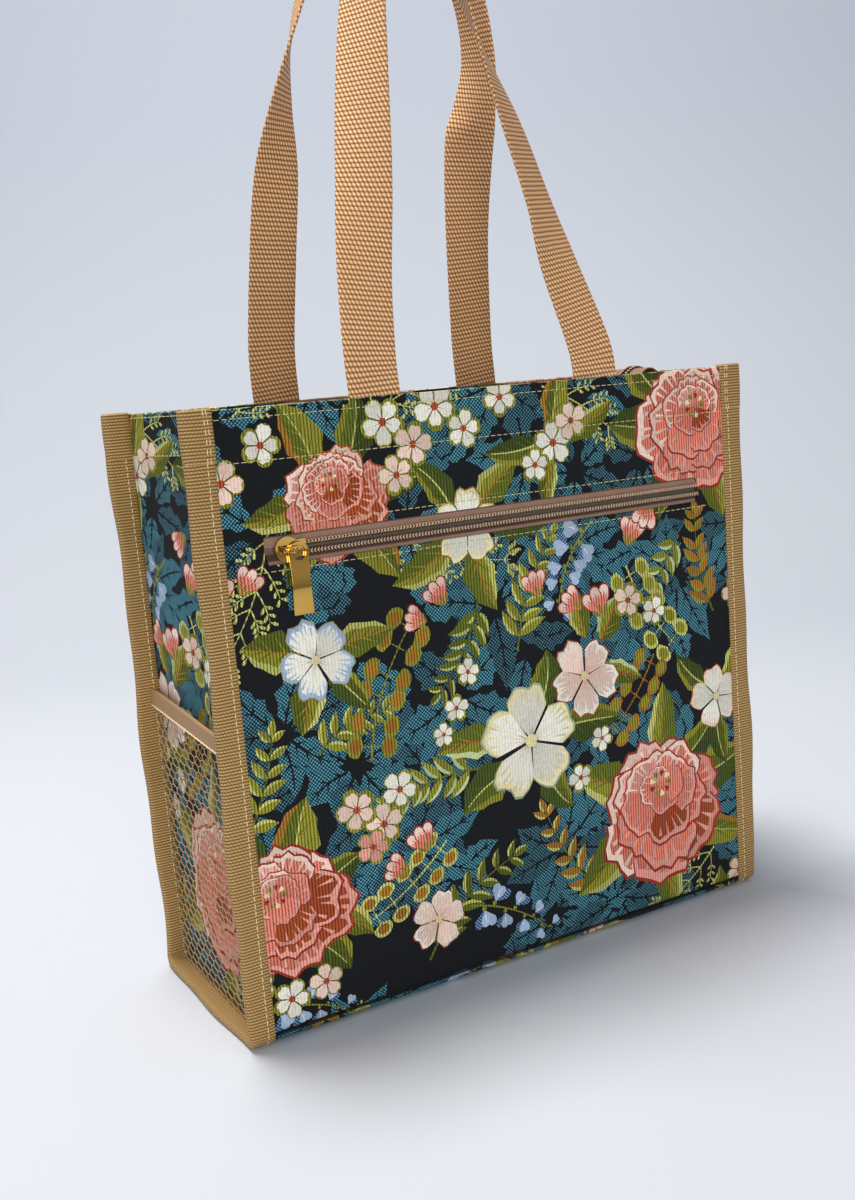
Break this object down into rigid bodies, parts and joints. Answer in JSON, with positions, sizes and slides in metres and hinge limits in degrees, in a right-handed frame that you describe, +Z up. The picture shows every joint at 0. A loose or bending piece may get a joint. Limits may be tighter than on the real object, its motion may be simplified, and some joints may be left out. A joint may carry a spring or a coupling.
{
  "type": "tapestry shopper bag",
  "caption": "Rectangular tapestry shopper with bound side edges, webbing handles, a zipped front pocket, net side pockets and a zip along its mouth.",
  "frame": {"origin": "on the floor, under the middle of the flat base", "axes": "+Z up, +X to the right of the front, the zipped front faces -Y"},
  "size_m": [0.38, 0.1497, 0.6625],
  "materials": {
    "tapestry": "woven floral jacquard with a backed, slightly stiff hand",
    "facing": "woven floral jacquard",
    "lining": "plain woven lining",
    "binding": "ribbed tape",
    "net": "knitted net",
    "net_band": "ribbed tape",
    "webbing": "basket-woven webbing",
    "zip_tape": "herringbone tape",
    "coil": "nylon coil",
    "gold": "polished, warm gold"
  },
  "bodies": {
    "bag": {"front_panel": "tapestry", "back_panel": "tapestry", "base_panel": "tapestry", "left_gusset": "tapestry", "right_gusset": "tapestry", "front_facing": "facing", "back_facing": "facing", "left_facing": "facing", "right_facing": "facing", "lining": "lining", "left_binding": "binding", "right_binding": "binding", "left_net": "net", "right_net": "net", "left_net_band": "net_band", "right_net_band": "net_band", "front_handle": "webbing", "back_handle": "webbing", "front_zip_upper_tape": "zip_tape", "front_zip_lower_tape": "zip_tape", "front_zip_upper_coil": "coil", "front_zip_lower_coil": "coil", "front_pouch": "lining", "top_zip_front_tape": "zip_tape", "top_zip_back_tape": "zip_tape", "top_zip_front_coil": "coil", "top_zip_back_coil": "coil"},
    "front_slider": {"front_zip_slider": "gold"},
    "front_pull": {"front_zip_pull": "gold"},
    "top_slider": {"top_zip_slider": "gold"},
    "top_pull": {"top_zip_pull": "gold"}
  },
  "joints": [
    {"name": "front_zip_slide", "type": "slide", "parent": "bag", "child": "front_slider", "axis": [1, 0, 0], "range_m": [0, 0.272], "deforming": ["front_zip_upper_coil", "front_zip_lower_coil"]},
    {"name": "front_pull_swing", "type": "hinge", "parent": "front_slider", "child": "front_pull", "pos_m": [-0.1333, -0.0742, 0.278], "axis": [0, -1, 0], "range_deg": [-25, 110]},
    {"name": "top_zip_slide", "type": "slide", "parent": "bag", "child": "top_slider", "axis": [1, 0, 0], "range_m": [0, 0.017]},
    {"name": "top_pull_swing", "type": "hinge", "parent": "top_slider", "child": "top_pull", "pos_m": [0.0937, -0.03, 0.3508], "axis": [0, 0, -1], "range_deg": [-25, 20]}
  ]
}
